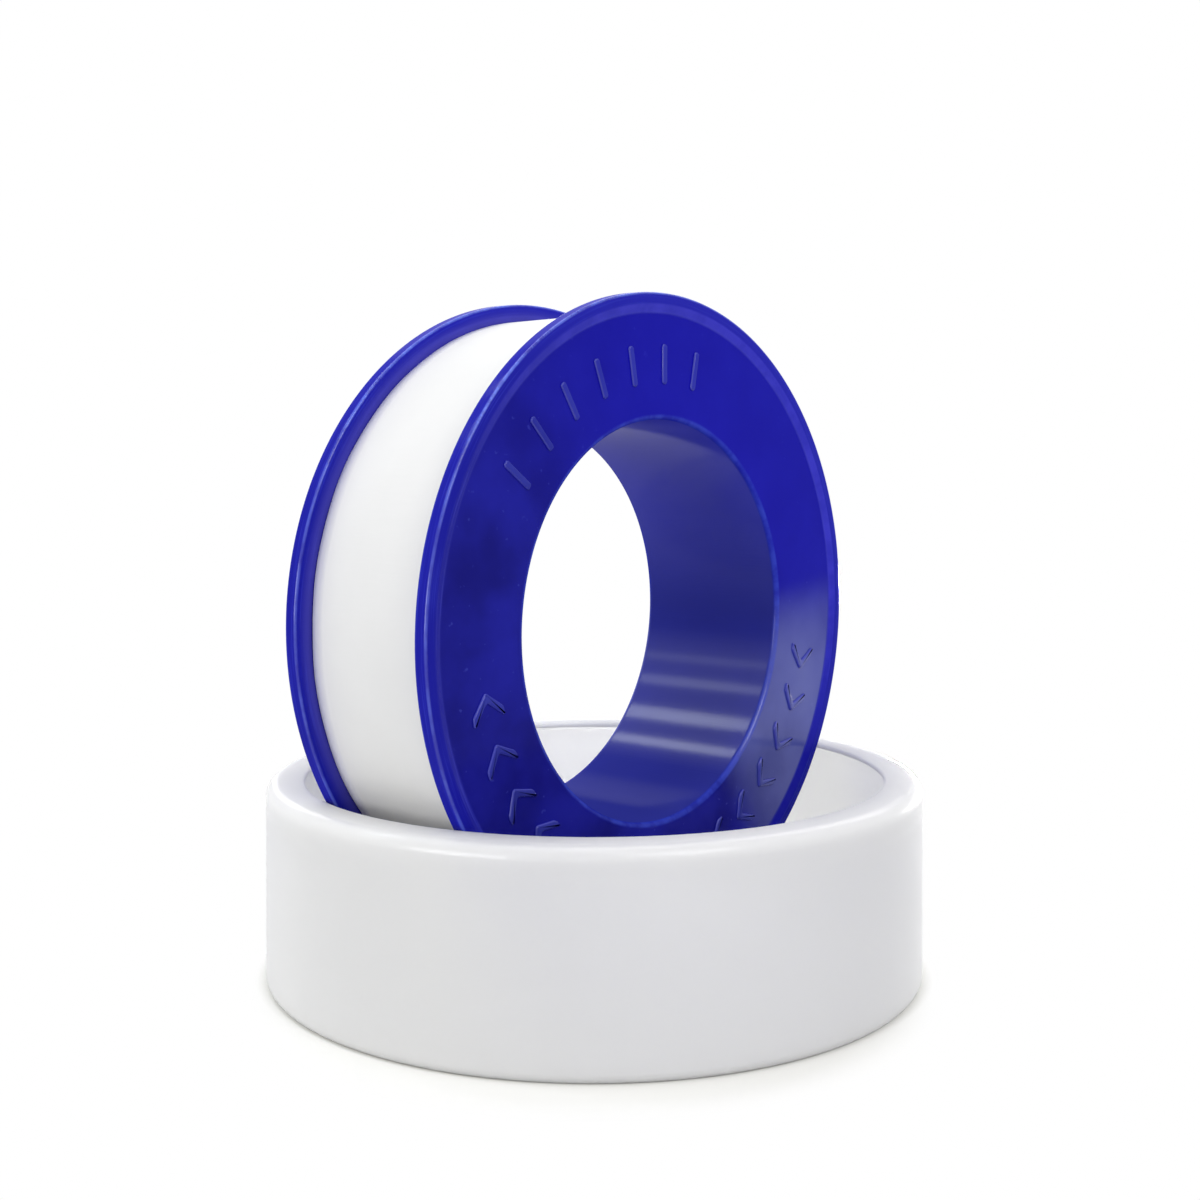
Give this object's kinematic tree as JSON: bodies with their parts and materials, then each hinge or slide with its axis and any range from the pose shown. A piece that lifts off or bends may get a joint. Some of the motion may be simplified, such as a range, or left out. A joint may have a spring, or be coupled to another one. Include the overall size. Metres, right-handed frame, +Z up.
{
  "type": "thread seal tape roll",
  "caption": "White thread seal tape wound on a blue flanged spool, standing on edge in the mouth of its round white cover; the spool lifts out and the tape runs off.",
  "frame": {"origin": "middle of the cover's foot, on the surface that it stands on", "axes": "+Z up; +Y along the spool's axis, away from the flange with the raised marks; +X to the right of that flange"},
  "size_m": [0.0552, 0.0552, 0.056],
  "materials": {
    "cover_plastic": "glossy white moulding",
    "spool_plastic": "semi-gloss deep blue moulding",
    "tape_film": "matte white film"
  },
  "bodies": {
    "shell": {"shell": "cover_plastic"},
    "spool": {"spool": "spool_plastic", "wound_tape": "tape_film"},
    "tape_lead": {"tape_lead": "tape_film"}
  },
  "joints": [
    {"name": "spool_lift", "type": "slide", "parent": "shell", "child": "spool", "axis": [0, 0, 1], "range_m": [0, 0.045]},
    {"name": "tape_unwind", "type": "hinge", "parent": "spool", "child": "tape_lead", "pos_m": [0, 0, 0.02957], "axis": [0, 1, 0], "continuous": true}
  ]
}
